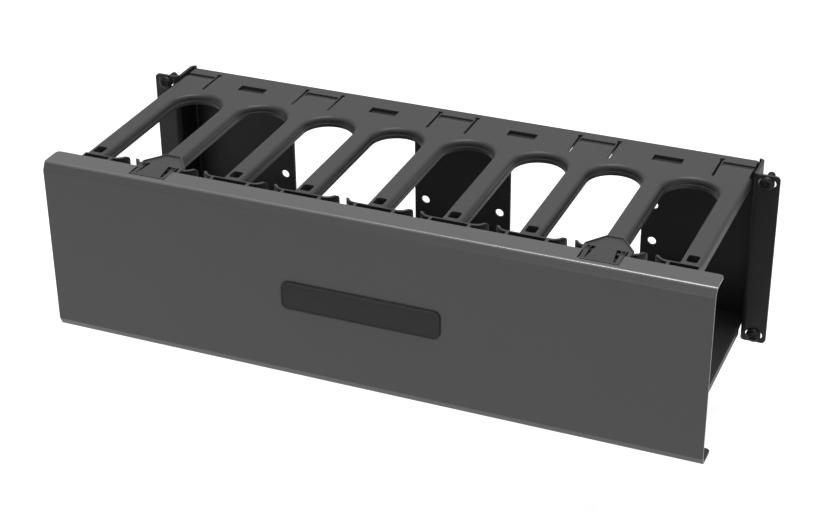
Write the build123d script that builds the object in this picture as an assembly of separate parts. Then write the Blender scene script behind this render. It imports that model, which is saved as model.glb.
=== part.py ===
from build123d import *
from math import cos, radians
import os

# Horizontal cable manager, three rack units high, with a hinged front cover.
# X runs along the rack face, +Y points into the rack and +Z points up. The origin is the
# centre of the four rack screws, on the rear face of the ears, which meets the rack rails.

# Rack sizes
UNIT = 44.45
UNITS = 3
UNIT_GAP = 1.35
EAR_SPAN = 482.6
EAR_WIDTH = 16.7
SCREW_EDGE = 8.75
SCREW_INSET = 6.35

# Rear bracket, one folded sheet
SHEET = 2.0
BEND = 2.0
WALL_DROP = 1.4
PANEL_DEPTH = 24.0
EAR_CORNER = 3.0
SLOT_LENGTH = 12.5
SLOT_WIDTH = 7.0
WINDOW_WIDTH = 101.0
WINDOW_RAIL = 6.0
WINDOW_CORNER = 4.0
PANEL_LAP = 0.6
UPRIGHT_WIDTH = 76.2
LACING_R = 3.25
LACING_INSET = 8.4
LACING_SPACING = 29.2
TAB_WIDTH = 24.0
TAB_REACH = 26.0
TAB_FIT = 0.1

# Finger combs, one moulding above and one below
FINGERS = 9
COMB_DROP = 2.5
SKIN = 2.5
SKIRT_DEPTH = 7.8
SKIRT = 2.0
FINGER_WIDTH = 14.6
SHOULDER = 3.0
BEAD = 0.6
BEAD_HEIGHT = 2.8
SLOT_END = -18.6
COMB_GAP = 0.3
COMB_CORNER = 3.0
SIDE_RELIEF = 2.0
SIDE_RELIEF_FRONT = -4.0

# Heads of the fingers
TEE_FRONT = -146.0
TEE_DEPTH = 10.7
TEE_GAP = 5.35
BLOCK_WIDTH = 30.0
BLADE = 2.0
BLADE_R = 9.6
BLADE_SWEEP = 84.0
BLADE_CORNER = 4.0
EDGE_EASE = 0.5
TIP_HOLE = (7.5, 9.2)
TIP_HOLE_Y = -128.6
TIP_HOLE_CORNER = 1.8
TIP_FLOOR = 1.5
HEAD_SLOT = (25.2, 4.5)
HEAD_SLOT_INSET = 1.8

# Rear fastening of the combs
LATCH_HOLE = (21.2, 8.8)
LATCH_HOLE_Y = 2.9
TONGUE_WIDTH = 29.0
END_TONGUE = 26.0
TONGUE_SLIT = 1.8
TONGUE_FRONT = -10.4
TONGUE_BACK = 17.0
TONGUE_EYE = 3.2
TONGUE_EDGE = 1.7
RAMP_FRONT = 6.0
RAMP_BACK = 13.8
RAMP_DROP = 1.5

# Cover, one folded sheet
COVER_INSET = 2.0
COVER_GAP = 0.1
COVER_SHEET = 1.5
COVER_BEND = 2.0
LIP_REAR = -145.5
CREST_Y = -162.5
FACE_Y = -165.5
BAND_HEIGHT = 6.0
LIP_CORNER = 3.0
BADGE_WIDTH = 116.0
BADGE_HEIGHT = 21.0
BADGE_CORNER = 5.0
BADGE_DEPTH = 2.0
BADGE_Z = -0.5
BADGE_RIM = 1.2
BADGE_SINK = 0.5

# Cover hinges, one pair above and one pair below
HINGE_FINGERS = (2, 8)
PIN_R = 1.5
PIN_Y = -140.3
PIN_DROP = 1.0
PIN_FIT = 0.05
PIN_INSET = 0.2
CHEEK = 2.5
HOUSING_GAP = 28.0
HOUSING_RISE = 0.8
HOUSING_BACK = -119.0
HOUSING_NECK = 12.0
HOUSING_SHOULDER_Y = -133.0
HOUSING_FRONT = -144.5
HOUSING_FLOOR = 1.5
RIDGE = 1.2
RECESS_BACK = -135.0
NOTCH_FRONT = -158.4
ARM_GAP = 0.8
ARM_WIDTH = 3.0
ARM_HEIGHT = 4.6
EYE_WALL = 1.2
CATCH_FLARE = 0.5
PLATE_REAR = -138.3
PLATE_REAR_WIDTH = 13.6
PLATE_SIDE_GAP = 0.7
PLATE_THICK = 1.7
CLIP_GAP = 0.8
WEB = 2.0
FOOT_WIDTH = 24.0
FOOT_END = 51.0
BOSS_R = 1.9
BOSS_RISE = 0.5
DIMPLE_R = 1.3
DIMPLE_DEPTH = 1.3

# Rack screws and the washers that keep them in their slots
SHANK_R = 2.74
NECK_R = 2.2
NECK_LENGTH = 3.6
SHANK_LENGTH = 15.0
SHANK_TIP = 1.0
HEAD_R = 5.3
HEAD_HEIGHT = 3.2
HEAD_EDGE = 1.4
HEAD_TOP = 2.2
HEAD_SLOPE = 2.9
DRIVE_LENGTH = 5.6
DRIVE_WIDTH = 1.3
DRIVE_DEPTH = 1.8
KEEPER_R = 4.6
KEEPER_THICK = 1.2
KEEPER_FIT = 0.02

# Worked-out sizes
EAR_Z = (UNITS * UNIT - UNIT_GAP) / 2
SCREW_X = EAR_SPAN / 2 - SCREW_EDGE
SCREW_Z = UNITS * UNIT / 2 - SCREW_INSET
WALL_Z = EAR_Z - WALL_DROP
WALL_X = EAR_SPAN / 2 - EAR_WIDTH
COMB_Z = EAR_Z - COMB_DROP
SKIRT_Z = COMB_Z - SKIRT_DEPTH
PANEL_Z = COMB_Z - SKIN + PANEL_LAP
TAB_ROOT_Z = SKIRT_Z - SHEET
COMB_X = WALL_X - SHEET - COMB_GAP
PITCH = (2 * COMB_X - FINGER_WIDTH) / (FINGERS - 1)
COMB_BACK = PANEL_DEPTH - COMB_GAP
SLOT_R = (PITCH - FINGER_WIDTH) / 2
WINDOW_HEIGHT = 2 * (SKIRT_Z - WINDOW_RAIL)
TEE_WIDTH = PITCH - TEE_GAP
COVER_WIDTH = EAR_SPAN - 2 * COVER_INSET
TAB_Z = COMB_Z - SKIN - TAB_FIT
TEE_BACK = TEE_FRONT + TEE_DEPTH
COVER_Z = EAR_Z - COVER_GAP
PIN_Z = COMB_Z - PIN_DROP
FINGER_X = [(k - (FINGERS + 1) / 2) * PITCH for k in range(1, FINGERS + 1)]
SLOT_X = [(a + b) / 2 for a, b in zip(FINGER_X, FINGER_X[1:])]
HINGE_X = [FINGER_X[k - 1] for k in HINGE_FINGERS]
LATCH_X = FINGER_X[1::2]
TONGUE_X = FINGER_X[0::2]
TAB_X = LATCH_X + TONGUE_X[1:-1]


def slab(x0, x1, y0, y1, z0, z1):
    """Block between two corners."""
    return Pos((x0 + x1) / 2, (y0 + y1) / 2, (z0 + z1) / 2) * Box(x1 - x0, y1 - y0, z1 - z0)


def turned_over(part):
    """The same piece for the other face of the manager, turned half round the depth axis."""
    return Rot(0, 180, 0) * part


def corners(sketch, places, radius):
    """Round the corners of an outline that lie at the given places."""
    chosen = [v for v in sketch.vertices() if any(abs(v.X - x) + abs(v.Y - y) < 0.01 for x, y in places)]
    return fillet(chosen, radius)


# Rear bracket
def bracket_plan():
    """Outline from above: ear, side wall, back panel, side wall, ear."""
    ear_x = EAR_SPAN / 2
    inner_x = WALL_X - SHEET
    half = [
        (ear_x, -SHEET),
        (ear_x, 0),
        (WALL_X, 0),
        (WALL_X, PANEL_DEPTH + SHEET),
    ]
    inside = [(inner_x, PANEL_DEPTH), (inner_x, -SHEET)]
    right = half + [(-x, y) for x, y in reversed(half)]
    left = [(-x, y) for x, y in reversed(inside)] + inside
    plan = make_face(Polyline(*right, *left, close=True))
    tight = [(s * WALL_X, 0) for s in (-1, 1)] + [(s * inner_x, PANEL_DEPTH) for s in (-1, 1)]
    wide = [(s * inner_x, -SHEET) for s in (-1, 1)] + [(s * WALL_X, PANEL_DEPTH + SHEET) for s in (-1, 1)]
    plan = corners(plan, tight, BEND)
    return corners(plan, wide, BEND + SHEET)


def bracket_tab(x):
    """Tab bent forward from the top edge of the panel, under the comb's skin."""
    front = PANEL_DEPTH + SHEET - TAB_REACH
    back = PANEL_DEPTH + SHEET
    low = TAB_ROOT_Z
    outline = Polyline(
        (front, TAB_Z),
        (back, TAB_Z),
        (back, low),
        (PANEL_DEPTH, low),
        (PANEL_DEPTH, TAB_Z - SHEET),
        (front, TAB_Z - SHEET),
        close=True,
    )
    section = make_face(outline)
    section = corners(section, [(PANEL_DEPTH, TAB_Z - SHEET)], BEND / 2)
    section = corners(section, [(back, TAB_Z)], BEND / 2 + SHEET)
    placed = Plane((x - TAB_WIDTH / 2, 0, 0), x_dir=(0, 1, 0), z_dir=(1, 0, 0)) * section
    return extrude(placed, TAB_WIDTH)


def rear_bracket():
    body = extrude(bracket_plan(), EAR_Z, both=True)
    reach = PANEL_DEPTH + SHEET + 1
    for s in (-1, 1):
        low, high = sorted((s * WALL_Z, s * (EAR_Z + 1)))
        body -= slab(-WALL_X - 1, WALL_X + 1, BEND, reach, low, high)
        low, high = sorted((s * PANEL_Z, s * (EAR_Z + 1)))
        edge = WALL_X - SHEET - BEND
        body -= slab(-edge, edge, BEND, reach, low, high)
        low, high = sorted((s * TAB_ROOT_Z, s * (EAR_Z + 1)))
        for x in TAB_X:
            body -= slab(x - TAB_WIDTH / 2, x + TAB_WIDTH / 2, BEND, reach, low, high)
    cuts = []
    for s in (-1, 1):
        window = RectangleRounded(WINDOW_WIDTH, WINDOW_HEIGHT, WINDOW_CORNER)
        cuts.append(Pos(s * (UPRIGHT_WIDTH + WINDOW_WIDTH) / 2, 0) * window)
        for edge in (UPRIGHT_WIDTH / 2 - LACING_INSET, UPRIGHT_WIDTH / 2 + WINDOW_WIDTH + LACING_INSET):
            for rise in (-LACING_SPACING / 2, LACING_SPACING / 2):
                cuts.append(Pos(s * edge, rise) * Circle(LACING_R))
    for cut in cuts:
        body -= extrude(Plane.XZ.offset(-reach) * cut, reach)
    slot = SlotOverall(SLOT_LENGTH, SLOT_WIDTH)
    for x in (-SCREW_X, SCREW_X):
        for z in (-SCREW_Z, SCREW_Z):
            body -= extrude(Plane.XZ.offset(-1) * Pos(x, z) * slot, SHEET + 2)
    tips = body.edges().filter_by(Axis.Y)
    tips = [e for e in tips if abs(abs(e.center().X) - EAR_SPAN / 2) < 0.01]
    body = fillet(tips, EAR_CORNER)
    for x in TAB_X:
        tab = bracket_tab(x)
        body += tab
        body += turned_over(tab)
    return body


# Finger combs
def comb_plan(inset, front):
    """Comb seen from above, drawn in by an inset: a bar with open round-ended slots."""
    x = COMB_X - inset
    back = COMB_BACK - inset
    plan = Pos(0, (front + back) / 2) * Rectangle(2 * x, back - front)
    radius = SLOT_R + inset
    centre = SLOT_END - SLOT_R
    for x0 in SLOT_X:
        plan -= Pos(x0, centre) * Circle(radius)
        plan -= Pos(x0, (centre + front) / 2 - 1) * Rectangle(2 * radius, centre - front + 2)
    return plan


def comb_shell():
    """Skin with rounded shoulders and a skirt round every slot, open below and behind."""
    front = TEE_BACK - 1
    solid = extrude(Pos(0, 0, SKIRT_Z) * comb_plan(0, front), SKIRT_DEPTH)
    rims = [e for e in solid.edges().group_by(Axis.Z)[-1] if e.center().Y > front + 0.01]
    rims = [e for e in rims if abs(e.center().Y - COMB_BACK) > 0.01]
    solid = fillet(rims, SHOULDER)
    bead = Pos(0, 0, SKIRT_Z) * comb_plan(-BEAD, front)
    bead &= Pos(0, 0, SKIRT_Z) * Rectangle(2 * COMB_X, 4 * COMB_X)
    bead &= Pos(0, 0, SKIRT_Z) * Pos(0, COMB_BACK - 2 * COMB_X) * Rectangle(2 * COMB_X, 4 * COMB_X)
    solid += extrude(bead, BEAD_HEIGHT)
    for s in (-1, 1):
        round_off = Pos(s * COMB_X, COMB_BACK) * Rectangle(2 * COMB_CORNER, 2 * COMB_CORNER)
        round_off -= Pos(s * (COMB_X - COMB_CORNER), COMB_BACK - COMB_CORNER) * Circle(COMB_CORNER)
        solid -= extrude(Pos(0, 0, SKIRT_Z - 1) * round_off, SKIRT_DEPTH + 2)
    for s in (-1, 1):
        low, high = sorted((s * (COMB_X - SIDE_RELIEF), s * (COMB_X + 1)))
        solid -= slab(low, high, SIDE_RELIEF_FRONT, COMB_BACK + 1, SKIRT_Z - 1, COMB_Z + 1)
    hollow = comb_plan(SKIRT, front) + Pos(0, COMB_BACK) * Rectangle(2 * (COMB_X - SKIRT), 4 * SKIRT)
    solid -= extrude(Pos(0, 0, SKIRT_Z - 1) * hollow, SKIRT_DEPTH - SKIN + 1)
    return solid


def blade_plan():
    """Thin wing of a head from above: straight along the back of the block, then curling to the rear."""
    x = TEE_WIDTH / 2 - BLADE_R
    y = TEE_BACK - BLADE + BLADE_R
    inner_r = BLADE_R - BLADE
    front = Line((0, y - BLADE_R), (x, y - BLADE_R))
    outer = CenterArc((x, y), BLADE_R, -90, BLADE_SWEEP)
    inner = CenterArc((x, y), inner_r, -90, BLADE_SWEEP)
    back = Line((x, y - inner_r), (0, y - inner_r))
    tip = Line(outer @ 1, inner @ 1)
    root = Line(back @ 1, front @ 0)
    return make_face([front, outer, tip, inner, back, root])


def blade_limit():
    """Side view of the space a head fills, with the upper rear corner rounded off."""
    rear = TEE_BACK - BLADE + BLADE_R - BLADE_R * cos(radians(BLADE_SWEEP))
    outline = make_face(
        Polyline((2 * TEE_FRONT, 0), (rear, 0), (rear, COMB_Z), (2 * TEE_FRONT, COMB_Z), close=True)
    )
    outline = corners(outline, [(rear, COMB_Z)], BLADE_CORNER)
    plane = Plane((-TEE_WIDTH, 0, 0), x_dir=(0, 1, 0), z_dir=(1, 0, 0))
    return extrude(plane * outline, 2 * TEE_WIDTH)


def finger_head(x0, width):
    """Head of one finger: a block behind the cover's lip with a curled blade at each side."""
    plan = Pos(0, (TEE_FRONT + TEE_BACK) / 2) * Rectangle(width, TEE_DEPTH)
    plan += blade_plan()
    plan += mirror(blade_plan(), Plane.YZ)
    head = extrude(Pos(0, 0, SKIRT_Z) * plan, SKIRT_DEPTH)
    head = chamfer(head.edges().group_by(Axis.Z)[-1], EDGE_EASE)
    head = Pos(x0, 0, 0) * (head & blade_limit())
    return head & slab(-COMB_X, COMB_X, 2 * TEE_FRONT, 0, 0, 2 * COMB_Z)


def tip_pocket(x0):
    """Blind pocket near the tip of a finger, and the box inside the finger that closes it."""
    width, length = TIP_HOLE
    side = FINGER_WIDTH / 2 - SKIRT / 2
    reach = length / 2 + SKIRT
    box = slab(x0 - side, x0 + side, TIP_HOLE_Y - reach, TIP_HOLE_Y + reach, SKIRT_Z, COMB_Z - SKIN / 2)
    outline = RectangleRounded(width, length, TIP_HOLE_CORNER)
    return box, extrude(Pos(x0, TIP_HOLE_Y, SKIRT_Z + TIP_FLOOR) * outline, SKIRT_DEPTH)


def housing_plan(inset, front):
    """Trapezoid from the finger's neck to the cheeks."""
    neck = HOUSING_NECK / 2 - inset / 2
    cheek = HOUSING_GAP / 2 + CHEEK - inset
    return make_face(
        Polyline(
            (-neck, HOUSING_BACK - inset),
            (neck, HOUSING_BACK - inset),
            (cheek, HOUSING_SHOULDER_Y - inset / 2),
            (cheek, front),
            (-cheek, front),
            (-cheek, HOUSING_SHOULDER_Y - inset / 2),
            close=True,
        )
    )


def hinge_housing(x0):
    """Open-fronted housing on a finger, with a cheek at each side for the hinge pin."""
    block = extrude(Pos(x0, 0, SKIRT_Z) * housing_plan(0, HOUSING_FRONT), SKIRT_DEPTH + HOUSING_RISE)
    ridge = block.edges().group_by(Axis.Z)[-1].filter_by(lambda e: e.center().Y > HOUSING_FRONT + 0.01)
    return chamfer(ridge, EDGE_EASE)


def hinge_recess(x0):
    """Space inside the housing, open to the front, a shelf behind it and the bore for the pin."""
    floor = SKIRT_Z + HOUSING_FLOOR
    width = HOUSING_GAP + 2 * CHEEK + 2
    left, right = x0 - width / 2, x0 + width / 2
    space = extrude(Pos(x0, 0, floor) * housing_plan(CHEEK, 2 * TEE_FRONT), 2 * SKIRT_DEPTH)
    space &= slab(left, right, 3 * TEE_FRONT, RECESS_BACK, floor, 2 * COMB_Z)
    shelf = extrude(Pos(x0, 0, COMB_Z) * housing_plan(RIDGE, 2 * TEE_FRONT), SKIRT_DEPTH)
    space += shelf & slab(left, right, RECESS_BACK, 0, COMB_Z, 2 * COMB_Z)
    bore = Pos(x0, PIN_Y, PIN_Z) * Cylinder(PIN_R + PIN_FIT, width, rotation=(0, 90, 0))
    return space + bore


def tongue_span(x):
    """Left and right edges of a tongue; the end tongues run out past the comb's side."""
    if x == TONGUE_X[0]:
        return -COMB_X - 2 * TONGUE_EDGE, -COMB_X + END_TONGUE
    if x == TONGUE_X[-1]:
        return COMB_X - END_TONGUE, COMB_X + 2 * TONGUE_EDGE
    return x - TONGUE_WIDTH / 2, x + TONGUE_WIDTH / 2


def rear_cuts():
    """Latch holes, tongue slits and ramps along the back of a comb."""
    top = COMB_Z + 1
    under = COMB_Z - SKIN - 1
    cuts = []
    for x in LATCH_X:
        hole = Pos(x, LATCH_HOLE_Y, under) * Rectangle(*LATCH_HOLE)
        cuts.append(extrude(hole, top - under))
    for x in TONGUE_X:
        left, right = tongue_span(x)
        for side in (left, right):
            if abs(side) > COMB_X:
                continue
            slit = slab(side - TONGUE_SLIT / 2, side + TONGUE_SLIT / 2, TONGUE_FRONT, TONGUE_BACK, under, top)
            eye_y = TONGUE_BACK - TONGUE_EYE / 2
            eye = slab(side - TONGUE_EYE / 2, side + TONGUE_EYE / 2, eye_y, eye_y + TONGUE_EYE, under, top)
            cuts += [slit, eye]
        section = make_face(
            Polyline(
                (RAMP_FRONT, COMB_Z),
                (RAMP_BACK, COMB_Z - RAMP_DROP),
                (RAMP_BACK, COMB_Z + 1),
                (RAMP_FRONT, COMB_Z + 1),
                close=True,
            )
        )
        plane = Plane((left + TONGUE_EDGE, 0, 0), x_dir=(0, 1, 0), z_dir=(1, 0, 0))
        cuts.append(extrude(plane * section, right - left - 2 * TONGUE_EDGE))
    return cuts


def finger_comb():
    comb = comb_shell()
    slot_y = TEE_BACK - HEAD_SLOT_INSET - HEAD_SLOT[1] / 2
    for k, x in enumerate(FINGER_X, start=1):
        if k in HINGE_FINGERS:
            comb += finger_head(x, HOUSING_GAP + 2 * CHEEK)
            comb += hinge_housing(x)
            comb -= hinge_recess(x)
        else:
            comb += finger_head(x, BLOCK_WIDTH)
            box, pocket = tip_pocket(x)
            comb += box
            comb -= pocket
            slot = extrude(Pos(x, slot_y, SKIRT_Z - 1) * Rectangle(*HEAD_SLOT), SKIRT_DEPTH + 2)
            limit = COMB_X - SKIRT / 2
            comb -= slot & slab(-limit, limit, 2 * TEE_FRONT, 0, 0, 2 * COMB_Z)
    for cut in rear_cuts():
        comb -= cut
    return comb


# Cover
def cover():
    """Front panel with a stepped band and an inward lip along both long edges."""
    bend_z = COVER_Z - BAND_HEIGHT
    outer = FilletPolyline(
        (LIP_REAR, COVER_Z),
        (CREST_Y, COVER_Z),
        (FACE_Y, bend_z),
        (FACE_Y, -bend_z),
        (CREST_Y, -COVER_Z),
        (LIP_REAR, -COVER_Z),
        radius=COVER_BEND,
    )
    section = make_face(offset(outer, COVER_SHEET, side=Side.LEFT))
    plane = Plane((-COVER_WIDTH / 2, 0, 0), x_dir=(0, 1, 0), z_dir=(1, 0, 0))
    sheet = extrude(plane * section, COVER_WIDTH)
    tips = [e for e in sheet.edges().filter_by(Axis.Z) if abs(e.center().Y - LIP_REAR) < 0.01]
    sheet = fillet(tips, LIP_CORNER)
    side = HOUSING_GAP / 2
    for x in HINGE_X:
        for s in (-1, 1):
            low, high = sorted((s * (COVER_Z - 2 * COVER_SHEET), s * (COVER_Z + 1)))
            sheet -= slab(x - side, x + side, NOTCH_FRONT, LIP_REAR + 1, low, high)
    return sheet


def badge_plate():
    """Plain plate with rounded ends and a sunk field, set on the cover's face."""
    outline = RectangleRounded(BADGE_WIDTH, BADGE_HEIGHT, BADGE_CORNER)
    plate = extrude(Plane.XZ.offset(-FACE_Y) * Pos(0, BADGE_Z) * outline, BADGE_DEPTH)
    front = plate.faces().sort_by(Axis.Y)[0]
    plate = chamfer(front.edges(), BADGE_SINK)
    field = RectangleRounded(
        BADGE_WIDTH - 2 * BADGE_RIM, BADGE_HEIGHT - 2 * BADGE_RIM, BADGE_CORNER - BADGE_RIM
    )
    plane = Plane.XZ.offset(-FACE_Y + BADGE_DEPTH - BADGE_SINK)
    return plate - extrude(plane * Pos(0, BADGE_Z) * field, 1)


# Cover hinges
def hinge_clip(x0):
    """Moulded clip in a notch of the lip: two arms whose open eyes snap over the pin."""
    top = COVER_Z
    arm_out = HOUSING_GAP / 2 - ARM_GAP
    arm_in = arm_out - ARM_WIDTH
    plate_half = arm_in - PLATE_SIDE_GAP
    web_front = NOTCH_FRONT + CLIP_GAP
    web_back = web_front + WEB
    under_lip = COVER_Z - COVER_SHEET
    inner_y = FACE_Y + COVER_SHEET
    bend_z = COVER_Z - BAND_HEIGHT
    plate = make_face(
        Polyline(
            (-PLATE_REAR_WIDTH / 2, PLATE_REAR),
            (PLATE_REAR_WIDTH / 2, PLATE_REAR),
            (plate_half, web_front),
            (-plate_half, web_front),
            close=True,
        )
    )
    clip = extrude(Pos(0, 0, top - PLATE_THICK) * plate, PLATE_THICK)
    clip += slab(-arm_out, arm_out, web_front, web_back, bend_z - WEB, top)
    clip += slab(-arm_out, arm_out, CREST_Y + COVER_SHEET, web_back, under_lip - WEB, under_lip)
    clip += slab(-FOOT_WIDTH / 2, FOOT_WIDTH / 2, inner_y, web_back, bend_z - 2 * WEB, bend_z - WEB)
    clip += slab(-FOOT_WIDTH / 2, FOOT_WIDTH / 2, inner_y, inner_y + WEB, FOOT_END, bend_z - WEB)
    eye_r = PIN_R + PIN_FIT + EYE_WALL
    for s in (-1, 1):
        low, high = sorted((s * arm_in, s * arm_out))
        clip += slab(low, high, web_back - WEB / 2, PIN_Y, PIN_Z + eye_r - ARM_HEIGHT, PIN_Z + eye_r)
        eye = Pos((low + high) / 2, PIN_Y, PIN_Z)
        clip += eye * Cylinder(eye_r, ARM_WIDTH, rotation=(0, 90, 0))
        boss = eye * Cylinder(BOSS_R, eye_r + BOSS_RISE, align=(Align.CENTER, Align.CENTER, Align.MIN))
        dimple = eye * Pos(0, 0, eye_r + BOSS_RISE) * Cylinder(DIMPLE_R, 2 * DIMPLE_DEPTH)
        clip += boss
        clip -= dimple
    return Pos(x0, 0, 0) * (clip - clip_catches())


def clip_catches():
    """Bores in the two eyes, each open to the rear through a flared mouth."""
    bore_r = PIN_R + PIN_FIT
    mouth = bore_r + CATCH_FLARE
    reach = 3 * PIN_R
    section = make_face(
        Polyline(
            (PIN_Y, PIN_Z - bore_r),
            (PIN_Y + reach, PIN_Z - mouth),
            (PIN_Y + reach, PIN_Z + mouth),
            (PIN_Y, PIN_Z + bore_r),
            close=True,
        )
    )
    plane = Plane((-HOUSING_GAP / 2, 0, 0), x_dir=(0, 1, 0), z_dir=(1, 0, 0))
    throat = extrude(plane * section, HOUSING_GAP)
    bore = Pos(0, PIN_Y, PIN_Z) * Cylinder(bore_r, HOUSING_GAP, rotation=(0, 90, 0))
    return throat + bore


def hinge_pin(x0):
    """Plain steel pin between the cheeks of one housing."""
    pin = Cylinder(PIN_R, HOUSING_GAP + 2 * (CHEEK - PIN_INSET), rotation=(0, 90, 0))
    return Pos(x0, PIN_Y, PIN_Z) * pin


# Rack screws
def rack_screw(x, z):
    """Pan-headed screw with a cross recess and a narrow neck, head on the front of the ear."""
    profile = make_face(
        Polyline(
            (0, -SHEET - HEAD_HEIGHT),
            (HEAD_R - HEAD_SLOPE, -SHEET - HEAD_HEIGHT),
            (HEAD_R - HEAD_SLOPE / 4, -SHEET - HEAD_TOP),
            (HEAD_R, -SHEET - HEAD_EDGE),
            (HEAD_R, -SHEET),
            (NECK_R, -SHEET),
            (NECK_R, NECK_LENGTH - SHEET),
            (SHANK_R, NECK_LENGTH - SHEET),
            (SHANK_R, SHANK_LENGTH - SHEET - SHANK_TIP),
            (SHANK_R - SHANK_TIP, SHANK_LENGTH - SHEET),
            (0, SHANK_LENGTH - SHEET),
            close=True,
        )
    )
    screw = revolve(profile, Axis.Y)
    face = -SHEET - HEAD_HEIGHT
    for angle in (0, 90):
        blade = Box(DRIVE_LENGTH, 2 * DRIVE_DEPTH, DRIVE_WIDTH)
        screw -= Pos(0, face, 0) * Rot(0, angle + 45, 0) * blade
    return Pos(x, 0, z) * screw


def keeper_washer(x, z):
    """Plastic washer round the neck of a screw, behind the ear."""
    ring = Circle(KEEPER_R) - Circle(NECK_R + KEEPER_FIT)
    return Pos(x, 0, z) * extrude(Plane.XZ.offset(-KEEPER_THICK) * ring, KEEPER_THICK)


nodes = {
    "rear_bracket": rear_bracket(),
    "cover": cover(),
    "badge_plate": badge_plate(),
}
top_comb = finger_comb()
nodes["top_comb"] = top_comb
nodes["bottom_comb"] = turned_over(top_comb)
for side, x in zip(("left", "right"), HINGE_X):
    clip = hinge_clip(x)
    pin = hinge_pin(x)
    nodes["hinge_clip_top_" + side] = clip
    nodes["hinge_pin_top_" + side] = pin
    nodes["hinge_clip_bottom_" + side] = turned_over(hinge_clip(-x))
    nodes["hinge_pin_bottom_" + side] = turned_over(hinge_pin(-x))
for side, x in (("left", -SCREW_X), ("right", SCREW_X)):
    for level, z in (("top", SCREW_Z), ("bottom", -SCREW_Z)):
        nodes["rack_screw_" + level + "_" + side] = rack_screw(x, z)
        nodes["keeper_washer_" + level + "_" + side] = keeper_washer(x, z)

os.makedirs("parts", exist_ok=True)
for name, part in nodes.items():
    export_step(part, "parts/" + name + ".step")
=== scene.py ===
import math

import bpy
import numpy as np
from mathutils import Matrix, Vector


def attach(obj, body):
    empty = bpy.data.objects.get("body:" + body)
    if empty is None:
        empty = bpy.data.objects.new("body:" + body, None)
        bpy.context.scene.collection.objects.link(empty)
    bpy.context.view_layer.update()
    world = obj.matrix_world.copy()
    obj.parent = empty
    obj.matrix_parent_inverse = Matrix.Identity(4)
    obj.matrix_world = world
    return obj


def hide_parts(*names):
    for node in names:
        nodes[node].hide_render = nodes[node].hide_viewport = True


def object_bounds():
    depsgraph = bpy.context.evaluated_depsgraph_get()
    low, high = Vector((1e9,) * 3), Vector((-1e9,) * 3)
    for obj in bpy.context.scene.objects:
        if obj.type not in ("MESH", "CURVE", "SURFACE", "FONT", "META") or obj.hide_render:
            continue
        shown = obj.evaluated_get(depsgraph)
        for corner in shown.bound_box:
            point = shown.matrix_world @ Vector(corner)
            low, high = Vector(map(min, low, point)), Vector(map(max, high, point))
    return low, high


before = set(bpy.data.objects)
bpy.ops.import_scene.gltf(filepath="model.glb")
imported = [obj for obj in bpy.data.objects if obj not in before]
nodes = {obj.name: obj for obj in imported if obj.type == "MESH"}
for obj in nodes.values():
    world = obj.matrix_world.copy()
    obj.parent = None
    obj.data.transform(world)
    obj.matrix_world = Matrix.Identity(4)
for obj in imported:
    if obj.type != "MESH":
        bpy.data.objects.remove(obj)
cad_box = [list(corner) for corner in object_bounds()]

MM = 0.001

# Camera fitted to the photograph: metres, degrees, and the focal length in pixels of the picture's width
CAMERA_PLACE = (0.458108, -1.164877, 0.651291)
CAMERA_TURN, CAMERA_TILT, CAMERA_ROLL = 22.70, 29.2146, -0.5124
FOCAL_PIXELS, PICTURE_PIXELS, SENSOR_WIDTH = 1910.04, 829, 36.0

# Softboxes: their place, the point they look at, their two sides in metres, and their power in watts
SOFTBOXES = {
    "overhead_box": ((0.15, 0.0, 1.9), (0.1, -0.05, 0.0), (1.1, 1.1), 54),
    "front_box": ((0.2, -2.2, 0.3), (0.0, -0.1, 0.0), (1.5, 0.8), 7),
}

# Light of the surroundings on the object, where 1 is white
WORLD_FILL = 0.36

# Floor, in metres: how far it lies under the part, which leaves room for the hanging cover, and its own size
FLOOR_DROP, FLOOR_RADIUS, FLOOR_RAYS, FLOOR_RINGS = 0.066, 14.0, 64, 10
FLOOR_GREY, FLOOR_GLOW = 0.32, 0.88

# The cover's long bends: how far in front they lie, and how far over and under the middle
BEND_DEPTH, BEND_HEIGHT, BEND_BLEND = 161.2 * MM, 64.8 * MM, 0.3 * MM

# Rack screws, in millimetres. Their heads face -Y and sit at HEAD_SEAT, on the front of the ears. A head's
# profile is worked out at angles from its middle to its rim, first in small steps, for the recess.
SCREW_X, SCREW_Z = 232.55, 60.325
HEAD_SEAT, HEAD_HEIGHT, HEAD_RADIUS, HEAD_RIM, HEAD_POWER = -2.0, 3.2, 5.3, 5.25, 0.7
HEAD_ANGLES = ((0.004, 0.42, 30), (0.45, math.pi / 2, 22))
RECESS_DEPTH, RECESS_SLOPE, RECESS_REACH, RECESS_HALF_WIDTH = 1.7, 0.5, 2.7, 0.62
RECESS_SIDE_WALL, RECESS_END_WALL = 0.14, 0.3
THREAD_PITCH, THREAD_MAJOR, THREAD_ROOT, THREAD_FADE = 1.06, 2.74, 2.2, 0.8
RIDGE_GAIN, RIDGE_CUT = 1.35, 0.15
SHANK_START, THREAD_START, POINT_START, SHANK_END, SHANK_TIP = -2.4, 1.6, 12.0, 13.0, 0.02
HEAD_COLUMNS, SHANK_COLUMNS, THREAD_ROWS = 96, 36, 116

# The four corners of the part, as signs of X and Z
CORNERS = {"top_left": (-1, 1), "top_right": (1, 1), "bottom_left": (-1, -1), "bottom_right": (1, -1)}


# Shader values as Python sums
class Wire:
    """A shader value. Python's operators on it add the Math nodes that work them out."""

    def __init__(self, graph, socket):
        self.graph = graph
        self.socket = socket

    def math(self, operation, *others):
        return self.graph.node("ShaderNodeMath", {"operation": operation}, [self, *others])

    def __add__(self, other):
        return self.math("ADD", other)

    def __mul__(self, other):
        return self.math("MULTIPLY", other)

    def __sub__(self, other):
        return self.math("SUBTRACT", other)

    def __rsub__(self, other):
        return self.math("MULTIPLY_ADD", -1.0, other)

    __radd__ = __add__
    __rmul__ = __mul__


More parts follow.
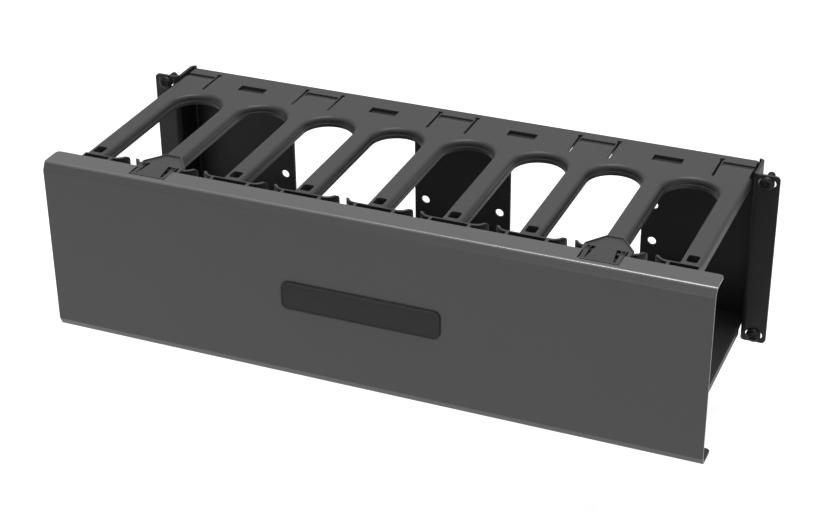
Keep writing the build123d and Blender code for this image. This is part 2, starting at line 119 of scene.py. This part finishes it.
class Graph:
    """The shader nodes of one material or of the world."""

    def __init__(self, owner):
        owner.use_nodes = True
        self.tree = owner.node_tree
        self.tree.nodes.clear()

    def node(self, kind, settings=None, values=(), out=0):
        """Add a node: its settings first, then the values or links of its sockets, by order or by name."""
        made = self.tree.nodes.new(kind)
        for key, setting in (settings or {}).items():
            setattr(made, key, setting)
        pairs = values.items() if isinstance(values, dict) else enumerate(values)
        for key, value in pairs:
            if isinstance(value, Wire):
                self.tree.links.new(value.socket, made.inputs[key])
            else:
                made.inputs[key].default_value = value
        return Wire(self, made.outputs[out])

    def seen(self):
        """1 for the rays of the camera, of reflections and of clear parts, 0 for the light that falls on things."""
        kinds = ("Is Camera Ray", "Is Glossy Ray", "Is Transmission Ray")
        camera, glossy, clear = [self.node("ShaderNodeLightPath", out=kind) for kind in kinds]
        return camera.math("MAXIMUM", glossy).math("MAXIMUM", clear)

    def close(self, kind, shader):
        """Lead a shader to the surface of the output node of this kind."""
        output = self.tree.nodes.new(kind)
        self.tree.links.new(shader.socket, output.inputs["Surface"])


class Finish(Graph):
    """One material, built node by node on the object's own coordinates, in metres."""

    def __init__(self, name):
        self.material = bpy.data.materials.new(name)
        super().__init__(self.material)
        self.place = self.node("ShaderNodeTexCoord", out="Object")

    def noise(self, size, detail=2.0, rough=0.5, place=None):
        """Noise from 0 to 1 whose blotches are about this many metres wide."""
        values = {"Vector": place or self.place, "Scale": 1 / size, "Detail": detail, "Roughness": rough}
        return self.node("ShaderNodeTexNoise", {"noise_dimensions": "3D"}, values)

    def grains(self, size):
        """Distance to the nearest of many scattered points, as a fine stipple."""
        values = {"Vector": self.place, "Scale": 1 / size}
        return self.node("ShaderNodeTexVoronoi", {"feature": "F1"}, values, "Distance")

    def stretched(self, x, y, z):
        """The object's coordinates multiplied along each axis, for streaks."""
        return self.node("ShaderNodeVectorMath", {"operation": "MULTIPLY"}, [self.place, (x, y, z)])

    def dot(self, a, b):
        return self.node("ShaderNodeVectorMath", {"operation": "DOT_PRODUCT"}, [a, b], "Value")

    def step(self, value, low, high):
        """0 below low, 1 above high, smooth between."""
        values = {"Value": value, "From Min": low, "From Max": high}
        return self.node("ShaderNodeMapRange", {"interpolation_type": "SMOOTHSTEP"}, values)

    def mix(self, mask, first, second):
        """Colour that goes from the first to the second as the mask goes from 0 to 1."""
        return self.node("ShaderNodeMix", {"data_type": "RGBA"}, {0: mask, 6: first, 7: second}, 2)

    def shades(self, mask, level, low, high):
        """Grey that goes from low to high times its level as the mask goes from 0 to 1."""
        return self.mix(mask, grey(level * low), grey(level * high))

    def overlay(self, body, mask, level, strength):
        """The body's colour with a grey laid over it at this strength where the mask is 1."""
        return self.mix(mask * strength, body, grey(level))

    def soft_normal(self, radius):
        """The surface's direction with every edge eased over a radius."""
        return self.node("ShaderNodeBevel", {"samples": 6}, {"Radius": radius})

    def edges(self, soft):
        """1 along edges and 0 on open faces, from how far the eased direction leans from the straight one."""
        straight = self.node("ShaderNodeNewGeometry", out="Normal")
        return self.step(1 - self.dot(soft, straight), low=0.02, high=0.22)

    def long_bends(self):
        """1 on the bends along the cover's upper and lower edge, 0 elsewhere."""
        y, z = [self.node("ShaderNodeSeparateXYZ", None, [self.place], axis) for axis in ("Y", "Z")]
        front = self.step(-1.0 * y, BEND_DEPTH - BEND_BLEND, BEND_DEPTH + BEND_BLEND)
        height = z.math("ABSOLUTE")
        return front * self.step(height, BEND_HEIGHT - BEND_BLEND, BEND_HEIGHT + BEND_BLEND)

    def bump(self, height, distance, normal):
        """Height from 0 to 1 raised by a distance in metres over an eased normal."""
        return self.node("ShaderNodeBump", None, {"Distance": distance, "Height": height, "Normal": normal})

    def surface(self, colour, roughness, normal, **plain):
        """Close the material with a Principled shader. Plain values are named after its sockets."""
        values = {"Base Color": colour, "Roughness": roughness, "Normal": normal}
        values.update({key.replace("_", " "): value for key, value in plain.items()})
        self.close("ShaderNodeOutputMaterial", self.node("ShaderNodeBsdfPrincipled", None, values))
        return self.material


def grey(level):
    """A neutral colour as linear red, green, blue and alpha."""
    return (level, level, level, 1.0)


def varied(value, pattern, by, middle=0.5):
    """A value that rises and falls with a pattern, by this much from the pattern's 0 to its 1."""
    return value + (pattern - middle) * by


# Finishes
def powder_coat(name, level, edge_highlight_and_wear_level, roughness, peel, shine, glossy_bends=False):
    """Satin powder coat: orange peel about a millimetre wide, a fine sparkle of grain, and thin edges made paler in
    patches, partly wear and partly a painted edge highlight.

    On glossy bends the coat has run and lies thicker and glossier."""
    f = Finish(name)
    soft = f.soft_normal(0.5 * MM)
    rubbed = f.step(f.noise(7 * MM, detail=4.0, rough=0.6), low=0.4, high=0.7)
    cloud = f.noise(60 * MM, detail=4.0, rough=0.55)
    grain = f.noise(0.35 * MM, rough=0.6)
    orange_peel = f.noise(1.1 * MM, detail=1.5, rough=0.45)
    sheen = f.noise(9 * MM, detail=3.0)

    body = f.shades(cloud, level, low=0.93, high=1.07)
    body = f.overlay(body, f.step(grain, low=0.35, high=0.75), level * 1.22, strength=0.5)
    # Paler grey on the edges in patches: partly wear, partly a painted highlight along the edges.
    body = f.overlay(body, f.edges(soft) * rubbed, edge_highlight_and_wear_level, strength=0.4)
    gloss = varied(roughness, sheen, by=0.10)
    relief = f.bump(orange_peel * 0.75 + grain * 0.25, peel, soft)
    coat = {}
    if glossy_bends:
        coat = {"Coat_Weight": f.long_bends() * 0.55, "Coat_Roughness": 0.3, "Coat_IOR": 1.8}
    return f.surface(body, gloss, relief, Specular_IOR_Level=shine, **coat)


def moulded_plastic(name, level, roughness, stipple, grain_size, ior=1.45):
    """Moulded black plastic: a sparked stipple, faint flow marks along the fingers, rubbed pale edges."""
    f = Finish(name)
    soft = f.soft_normal(0.45 * MM)
    rubbed = f.step(f.noise(3 * MM, detail=3.0, rough=0.6), low=0.35, high=0.7)
    flow = f.noise(14 * MM, detail=3.0, rough=0.55, place=f.stretched(1.0, 0.22, 1.0))
    stippled = f.grains(grain_size) * 0.6 + f.noise(grain_size * 1.7, detail=3.0, rough=0.6) * 0.4

    body = f.shades(flow, level, low=0.88, high=1.14)
    body = f.overlay(body, f.edges(soft) * rubbed, level * 2.4, strength=0.5)
    gloss = varied(varied(roughness, flow, by=0.12), stippled, by=0.10, middle=0.4)
    return f.surface(body, gloss, f.bump(stippled, stipple, soft), IOR=ior)


def turned_steel(name, level, metallic, roughness):
    """Plated or drawn steel with fine marks run round it and wear on its edges."""
    f = Finish(name)
    soft = f.soft_normal(0.25 * MM)
    rubbed = f.step(f.noise(1.4 * MM, detail=3.0), low=0.35, high=0.65)
    marks = f.noise(0.5 * MM, detail=3.0, rough=0.6, place=f.stretched(1.0, 3.5, 1.0))

    body = f.shades(marks, level, low=0.8, high=1.25)
    body = f.overlay(body, f.edges(soft) * rubbed, 0.25, strength=0.6)
    gloss = varied(roughness, marks, by=0.18)
    relief = f.bump(marks, 0.012 * MM, soft)
    return f.surface(body, gloss, relief, Metallic=metallic, Specular_IOR_Level=0.25)


def badge_finish(name):
    """Smooth dark plate with a painted highlight along its raised rim: every edge is laid over with a paler grey.
    """
    f = Finish(name)
    soft = f.soft_normal(0.4 * MM)
    cloud = f.noise(12 * MM, detail=3.0)
    sheen = f.noise(2.5 * MM, detail=4.0, rough=0.6)

    body = f.mix(cloud, grey(0.031), grey(0.037))
    # Painted highlight: a paler grey laid over every edge of the plate.
    body = f.overlay(body, f.edges(soft), 0.09, strength=0.55)
    gloss = varied(0.34, sheen, by=0.12)
    relief = f.bump(f.noise(0.8 * MM), 0.008 * MM, soft)
    return f.surface(body, gloss, relief, Specular_IOR_Level=0.12)


# Stage
def floor_finish():
    """Pale floor that reads as white to the camera and in reflections, and still takes the shadow."""
    f = Finish("pale_floor")
    matt = f.node("ShaderNodeBsdfDiffuse", None, {"Color": grey(FLOOR_GREY)})
    glow = f.node("ShaderNodeEmission", None, {"Color": grey(1.0), "Strength": f.seen() * FLOOR_GLOW})
    f.close("ShaderNodeOutputMaterial", f.node("ShaderNodeAddShader", None, [matt, glow]))
    return f.material


def lay_floor():
    """A flat disc of rings that widen outwards, r = R (i / n)^2, with a fan of triangles in the middle."""
    angle = ring_angles(FLOOR_RAYS)
    radius = np.linspace(0.0, 1.0, FLOOR_RINGS + 1)[1:] ** 2 * FLOOR_RADIUS
    x, y = np.outer(radius, np.cos(angle)).ravel(), np.outer(radius, np.sin(angle)).ravel()
    height = cad_box[0][2] - FLOOR_DROP
    points = np.vstack([[0.0, 0.0, height], np.column_stack([x, y, np.full_like(x, height)])])
    ray = np.arange(FLOOR_RAYS)
    fan = np.column_stack([0 * ray, 1 + ray, 1 + (ray + 1) % FLOOR_RAYS])
    mesh = bpy.data.meshes.new("floor")
    mesh.from_pydata(points.tolist(), [], ring_quads(FLOOR_RINGS, FLOOR_RAYS, 1) + fan.tolist())
    mesh.materials.append(floor_finish())
    floor = bpy.data.objects.new("floor", mesh)
    bpy.context.collection.objects.link(floor)


def light_world():
    """White surroundings: plain fill on the object, full white to the camera and in reflections."""
    world = bpy.data.worlds.new("studio")
    bpy.context.scene.world = world
    graph = Graph(world)
    fill = graph.node("ShaderNodeBackground", None, {"Color": grey(1.0), "Strength": WORLD_FILL})
    white = graph.node("ShaderNodeBackground", None, {"Color": grey(1.0), "Strength": 1.0})
    graph.close("ShaderNodeOutputWorld", graph.node("ShaderNodeMixShader", None, [graph.seen(), fill, white]))


def stand(thing, place, right, up, ahead):
    """Put a lamp or the camera into the scene. It looks ahead along its own -Z."""
    bpy.context.collection.objects.link(thing)
    pose = np.eye(4)
    pose[:3] = np.column_stack([right, up, -ahead, place])
    thing.matrix_world = Matrix(pose.tolist())


def add_softbox(name, place, at, size, power):
    """A rectangular lamp that looks at a point, with its upper side level."""
    data = bpy.data.lights.new(name, "AREA")
    data.shape = "RECTANGLE"
    data.size, data.size_y = size
    data.energy = power
    ahead = np.subtract(at, place)
    ahead /= np.linalg.norm(ahead)
    right = np.cross(ahead, (0.0, 0.0, 1.0))
    right /= np.linalg.norm(right)
    stand(bpy.data.objects.new(name, data), place, right, np.cross(right, ahead), ahead)


def set_camera():
    """The fitted camera: turned from +Y towards -X, tilted down, and rolled about its own view."""
    turn, tilt, roll = [math.radians(angle) for angle in (CAMERA_TURN, CAMERA_TILT, CAMERA_ROLL)]
    ahead = np.array([-math.sin(turn) * math.cos(tilt), math.cos(turn) * math.cos(tilt), -math.sin(tilt)])
    level = np.array([math.cos(turn), math.sin(turn), 0.0])
    upright = np.cross(level, ahead)
    right = math.cos(roll) * level + math.sin(roll) * upright
    up = math.cos(roll) * upright - math.sin(roll) * level
    data = bpy.data.cameras.new("camera")
    data.sensor_width = SENSOR_WIDTH
    data.lens = FOCAL_PIXELS / PICTURE_PIXELS * SENSOR_WIDTH
    camera = bpy.data.objects.new("camera", data)
    stand(camera, CAMERA_PLACE, right, up, ahead)
    bpy.context.scene.camera = camera


# Surfaces
def ring_angles(columns):
    return np.linspace(0, 2 * np.pi, columns, endpoint=False)


def ring_quads(rows, columns, first):
    """Four-sided faces that join each ring of points to the next. The points are counted from first."""
    i, j = np.meshgrid(np.arange(rows - 1), np.arange(columns), indexing="ij")
    here, after = first + i * columns, first + (i + 1) * columns
    k = (j + 1) % columns
    return np.stack([here + j, after + j, after + k, here + k], axis=-1).reshape(-1, 4).tolist()


def turned_surface(r, y, first):
    """Rings of points (r cos a, y, r sin a) round the Y axis, with a flat face that closes each end.

    r and y are grids of one row to a ring and one column to an angle a."""
    rows, columns = np.shape(r)
    a = ring_angles(columns)
    points = np.stack([r * np.cos(a), y, r * np.sin(a)], axis=-1).reshape(-1, 3)
    ring = np.arange(columns)
    ends = [first + ring, first + len(points) - 1 - ring]
    return points, ring_quads(rows, columns, first) + [end.tolist() for end in ends]


# Rack screws
def cross_recess(r, a):
    """Depth of the cross: two arms at q = 45 and -45 degrees, with floors that slope up to their ends.

    d = depth (1 - slope r / reach) inside |u| < reach, |v| < half width, with u = r cos(a - q) and
    v = r sin(a - q). The walls lean over a short width."""
    arms = 0.0
    for quarter in (np.pi / 4, -np.pi / 4):
        along, across = np.abs(r * np.cos(a - quarter)), np.abs(r * np.sin(a - quarter))
        side = np.clip((RECESS_HALF_WIDTH - across) / RECESS_SIDE_WALL + 0.5, 0, 1)
        end = np.clip((RECESS_REACH - along) / RECESS_END_WALL, 0, 1)
        arms = np.maximum(arms, side * end)
    return arms * RECESS_DEPTH * (1 - RECESS_SLOPE * r / RECESS_REACH)


def screw_head(first):
    """Pan head: the superellipse r = R sin(t)^p, y = seat - H cos(t)^p, then in along its underside.

    The cross recess is added to y, also at the underside's inner ring, where it doesn't show."""
    t = np.concatenate([np.linspace(*angles) for angles in HEAD_ANGLES])
    dome = HEAD_SEAT - HEAD_HEIGHT * np.clip(np.cos(t), 0, None) ** HEAD_POWER
    r = np.append(HEAD_RADIUS * np.sin(t) ** HEAD_POWER, [HEAD_RIM, THREAD_ROOT])[:, None]
    y = np.append(dome, [HEAD_SEAT, HEAD_SEAT])[:, None]
    a = ring_angles(HEAD_COLUMNS)
    return turned_surface(r + 0 * a, y + cross_recess(r, a), first)


def screw_shank(first):
    """Neck, then a helical thread that ends in a short point: r = root + (major - root) w.

    w is a clipped triangle wave of y / pitch - a / 2 pi that fades in where the thread starts."""
    y = np.linspace(THREAD_START, SHANK_END, THREAD_ROWS)[:, None]
    a = ring_angles(SHANK_COLUMNS)
    wave = 1 - np.abs(2 * ((y / THREAD_PITCH - a / (2 * np.pi)) % 1.0) - 1)
    ridge = np.clip(RIDGE_GAIN * wave - RIDGE_CUT, 0, 1) * np.clip((y - THREAD_START) / THREAD_FADE, 0, 1)
    r = THREAD_ROOT + (THREAD_MAJOR - THREAD_ROOT) * ridge
    r = np.minimum(r, THREAD_MAJOR - np.clip(y - POINT_START, 0, 1))
    r = np.vstack([THREAD_ROOT + 0 * a, r, SHANK_TIP + 0 * a])
    y = np.vstack([SHANK_START + 0 * a, y + 0 * a, SHANK_END + 0 * a])
    return turned_surface(r, y, first)


def fit_screw(node, x, z, material):
    """One visual screw at (x, z) in millimetres, in place of the plain one."""
    head, head_faces = screw_head(0)
    shank, shank_faces = screw_shank(len(head))
    points = (np.vstack([head, shank]) + (x, 0.0, z)) * MM
    faces = head_faces + shank_faces
    mesh = bpy.data.meshes.new(node + "_turned")
    mesh.from_pydata(points.tolist(), [], faces)
    mesh.polygons.foreach_set("use_smooth", np.ones(len(faces), bool))
    mesh.materials.append(material)
    screw = bpy.data.objects.new(node + "_turned", mesh)
    bpy.context.collection.objects.link(screw)
    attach(screw, "frame")
    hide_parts(node)


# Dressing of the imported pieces
def dress(names, material):
    for name in names:
        slots = nodes[name].data.materials
        slots.clear()
        slots.append(material)


def dress_four(piece, material):
    dress([piece + "_" + corner for corner in CORNERS], material)


def dress_pieces():
    dress(["cover"], powder_coat("cover_coat", level=0.037, edge_highlight_and_wear_level=0.16, roughness=0.32, peel=0.03 * MM,
                                 shine=0.5, glossy_bends=True))
    dress(["rear_bracket"], powder_coat("bracket_coat", level=0.011, edge_highlight_and_wear_level=0.05, roughness=0.50,
                                        peel=0.03 * MM, shine=0.25))
    dress(["top_comb", "bottom_comb"], moulded_plastic("comb_plastic", level=0.019, roughness=0.50,
                                                       stipple=0.03 * MM, grain_size=0.55 * MM, ior=1.37))
    dress(["badge_plate"], badge_finish("badge_plastic"))
    dress_four("hinge_clip", moulded_plastic("clip_plastic", level=0.012, roughness=0.46, stipple=0.02 * MM,
                                             grain_size=0.4 * MM, ior=1.4))
    dress_four("hinge_pin", turned_steel("pin_steel", level=0.014, metallic=0.3, roughness=0.5))
    dress_four("keeper_washer", moulded_plastic("washer_plastic", level=0.02, roughness=0.5, stipple=0.01 * MM,
                                                grain_size=0.4 * MM))
    screw_steel = turned_steel("screw_steel", level=0.012, metallic=0.6, roughness=0.36)
    dress_four("rack_screw", screw_steel)
    for corner, (side, level) in CORNERS.items():
        fit_screw("rack_screw_" + corner, side * SCREW_X, level * SCREW_Z, screw_steel)


set_camera()
dress_pieces()
lay_floor()
light_world()
for name, box in SOFTBOXES.items():
    add_softbox(name, *box)

bpy.context.scene.view_settings.view_transform = "Standard"
